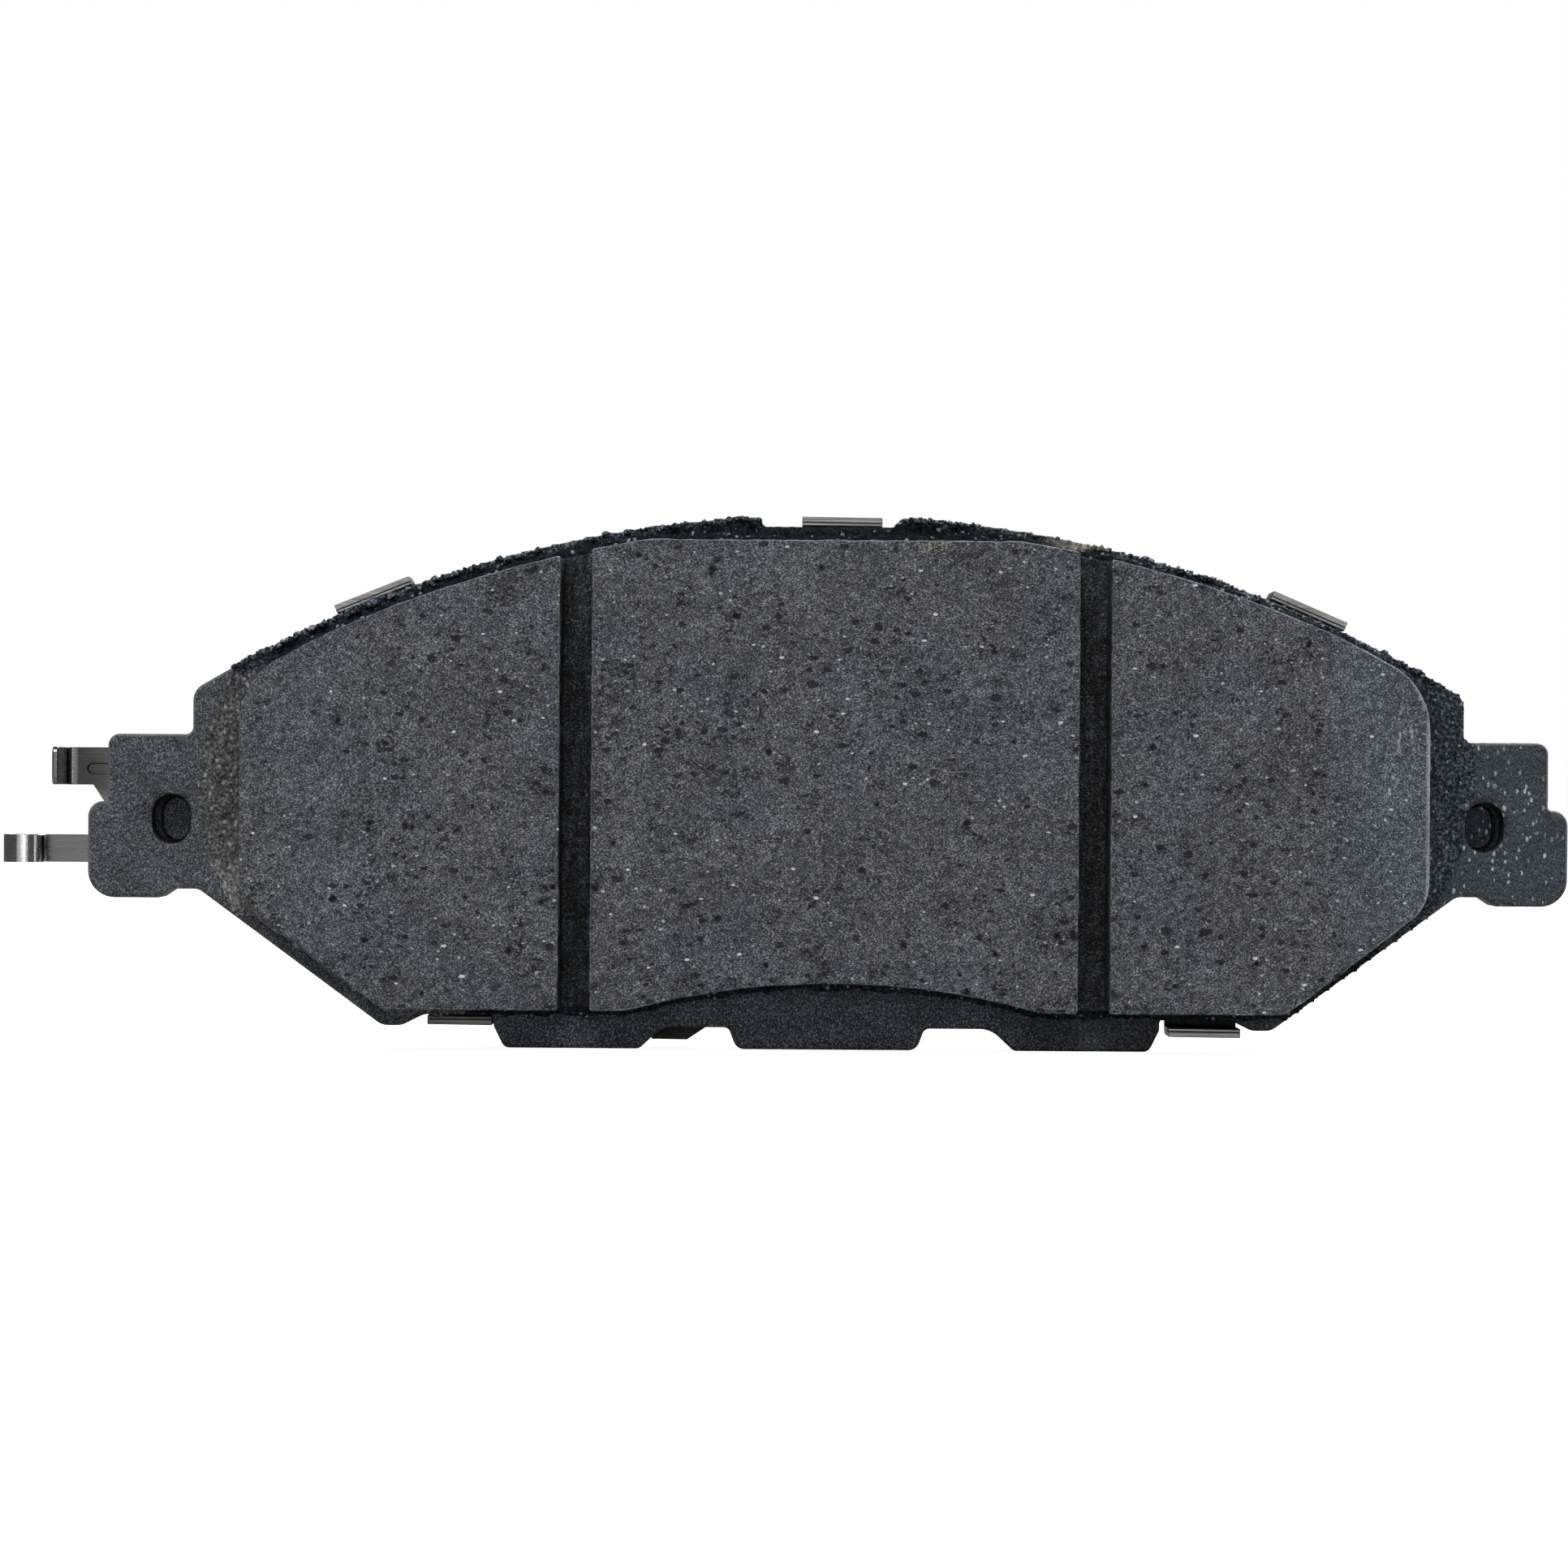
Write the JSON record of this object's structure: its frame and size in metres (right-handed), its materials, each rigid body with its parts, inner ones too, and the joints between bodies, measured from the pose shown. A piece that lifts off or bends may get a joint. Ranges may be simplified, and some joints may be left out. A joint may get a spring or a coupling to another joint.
{
  "type": "disc brake pad",
  "caption": "Disc brake pad: eared steel backing plate, grooved and chamfered friction block, clip-on noise shim and a spring steel wear indicator on one ear.",
  "frame": {"origin": "midway between the two ears, at half the backing plate's thickness, level with the middle of the ears: where the caliper bracket holds the pad", "axes": "as installed: +X along the pad's length with the wear indicator at -X, -Y towards the rotor, +Y towards the caliper piston, +Z radially outwards from the axle"},
  "size_m": [0.1744, 0.018, 0.0592],
  "materials": {
    "plate_coat": "satin black powder coat with orange peel",
    "friction_mix": "ground low-metallic friction mix, fine grain with pale fibres and dark pores",
    "underlayer_mix": "as moulded, dark and crumbly",
    "bond": "cured phenolic adhesive",
    "coating": "matte black rubber coating",
    "spring_steel": "satin rolled spring steel",
    "stainless": "satin rolled stainless sheet",
    "shim_core": "cold rolled sheet"
  },
  "bodies": {
    "pad": {"backing_plate": "plate_coat", "bond_film": "bond", "underlayer": "underlayer_mix", "friction_block": "friction_mix", "wear_indicator": "spring_steel"},
    "shim_pack": {"inner_shim_front_coating": "coating", "inner_shim_core": "shim_core", "inner_shim_back_coating": "coating", "outer_shim": "stainless"}
  },
  "joints": [
    {"name": "shim_walk", "type": "hinge", "parent": "pad", "child": "shim_pack", "pos_m": [0, 0.003, -0.10529], "axis": [0, 1, 0], "range_deg": [-0.6, 0]}
  ]
}
